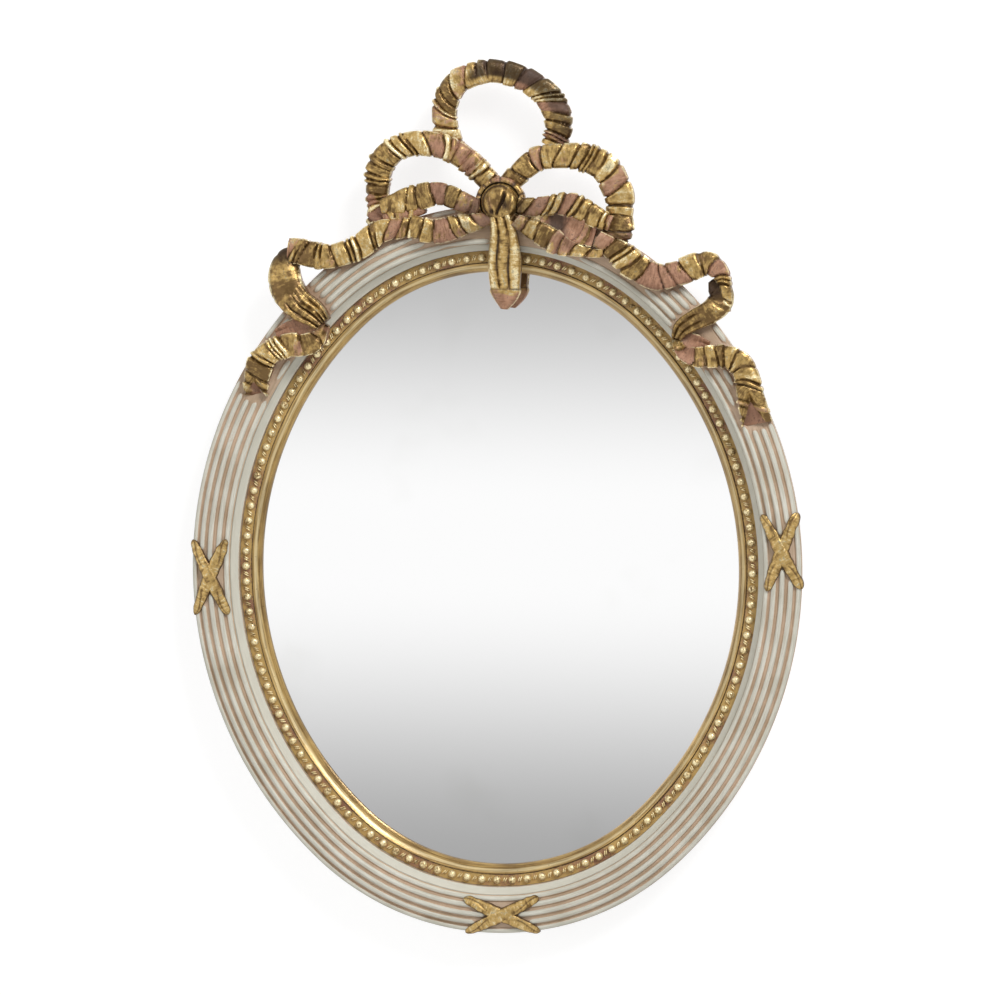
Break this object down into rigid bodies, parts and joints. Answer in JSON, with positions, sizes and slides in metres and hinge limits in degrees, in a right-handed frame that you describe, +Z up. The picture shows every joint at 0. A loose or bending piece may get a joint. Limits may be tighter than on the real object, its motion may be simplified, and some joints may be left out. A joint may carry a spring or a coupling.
{
  "type": "carved oval wall mirror",
  "caption": "Oval wall mirror in a reeded, painted wood frame with a beaded gilt slip, crossed ties and a carved gilt ribbon bow as its crest.",
  "frame": {"origin": "point on the wall plane behind the pivot of the hanger's ring, at the top of the frame's back", "axes": "+X to the viewer's right, +Y into the wall, +Z up; the mirror faces -Y"},
  "size_m": [0.4994, 0.0574, 0.7023],
  "materials": {
    "painted_wood": "rubbed off-white paint over a red-brown ground",
    "gilt_wood": "worn gilding over a red-brown ground",
    "bare_wood": "unfinished wood",
    "silvered_glass": "polished and silvered",
    "board": "plain brown board",
    "plated_steel": "zinc plated",
    "brass": "brass plated",
    "felt": "dark felt"
  },
  "bodies": {
    "mirror": {"frame_top": "painted_wood", "frame_right": "painted_wood", "frame_bottom": "painted_wood", "frame_left": "painted_wood", "frame_dowels": "bare_wood", "crest_dowels": "bare_wood", "crest_pegs": "bare_wood", "crest_block": "bare_wood", "sight_liner": "gilt_wood", "beads": "gilt_wood", "cross_left": "gilt_wood", "cross_right": "gilt_wood", "cross_bottom": "gilt_wood", "top_loop": "gilt_wood", "left_upper_loop": "gilt_wood", "right_upper_loop": "gilt_wood", "left_middle_band": "gilt_wood", "right_middle_band": "gilt_wood", "left_lower_band": "gilt_wood", "right_lower_band": "gilt_wood", "knot": "gilt_wood", "pendant": "gilt_wood", "left_tail_upper": "gilt_wood", "left_tail_curl": "gilt_wood", "left_tail_end": "gilt_wood", "right_tail_upper": "gilt_wood", "right_tail_curl": "gilt_wood", "right_tail_end": "gilt_wood", "mirror_glass": "silvered_glass", "backing_board": "board", "turn_button_screws": "plated_steel", "hanger_screws": "plated_steel", "hanger_plate": "brass", "wall_pad_left": "felt", "wall_pad_right": "felt"},
    "hanger_ring": {"hanger_ring": "brass"},
    "turn_button_1": {"turn_button_1": "plated_steel"},
    "turn_button_2": {"turn_button_2": "plated_steel"},
    "turn_button_3": {"turn_button_3": "plated_steel"},
    "turn_button_4": {"turn_button_4": "plated_steel"},
    "turn_button_5": {"turn_button_5": "plated_steel"},
    "turn_button_6": {"turn_button_6": "plated_steel"}
  },
  "joints": [
    {"name": "hanger_ring_swing", "type": "hinge", "parent": "mirror", "child": "hanger_ring", "pos_m": [0, -0.00297, 0], "axis": [1, 0, 0], "range_deg": [0, 180]},
    {"name": "turn_button_1_turn", "type": "hinge", "parent": "mirror", "child": "turn_button_1", "pos_m": [0.216, -0.00425, -0.2845], "axis": [0, 1, 0], "continuous": true},
    {"name": "turn_button_2_turn", "type": "hinge", "parent": "mirror", "child": "turn_button_2", "pos_m": [0.09103, -0.00425, -0.04839], "axis": [0, 1, 0], "continuous": true},
    {"name": "turn_button_3_turn", "type": "hinge", "parent": "mirror", "child": "turn_button_3", "pos_m": [-0.09103, -0.00425, -0.04839], "axis": [0, 1, 0], "continuous": true},
    {"name": "turn_button_4_turn", "type": "hinge", "parent": "mirror", "child": "turn_button_4", "pos_m": [-0.216, -0.00425, -0.2845], "axis": [0, 1, 0], "continuous": true},
    {"name": "turn_button_5_turn", "type": "hinge", "parent": "mirror", "child": "turn_button_5", "pos_m": [-0.09103, -0.00425, -0.52061], "axis": [0, 1, 0], "continuous": true},
    {"name": "turn_button_6_turn", "type": "hinge", "parent": "mirror", "child": "turn_button_6", "pos_m": [0.09103, -0.00425, -0.52061], "axis": [0, 1, 0], "continuous": true}
  ]
}
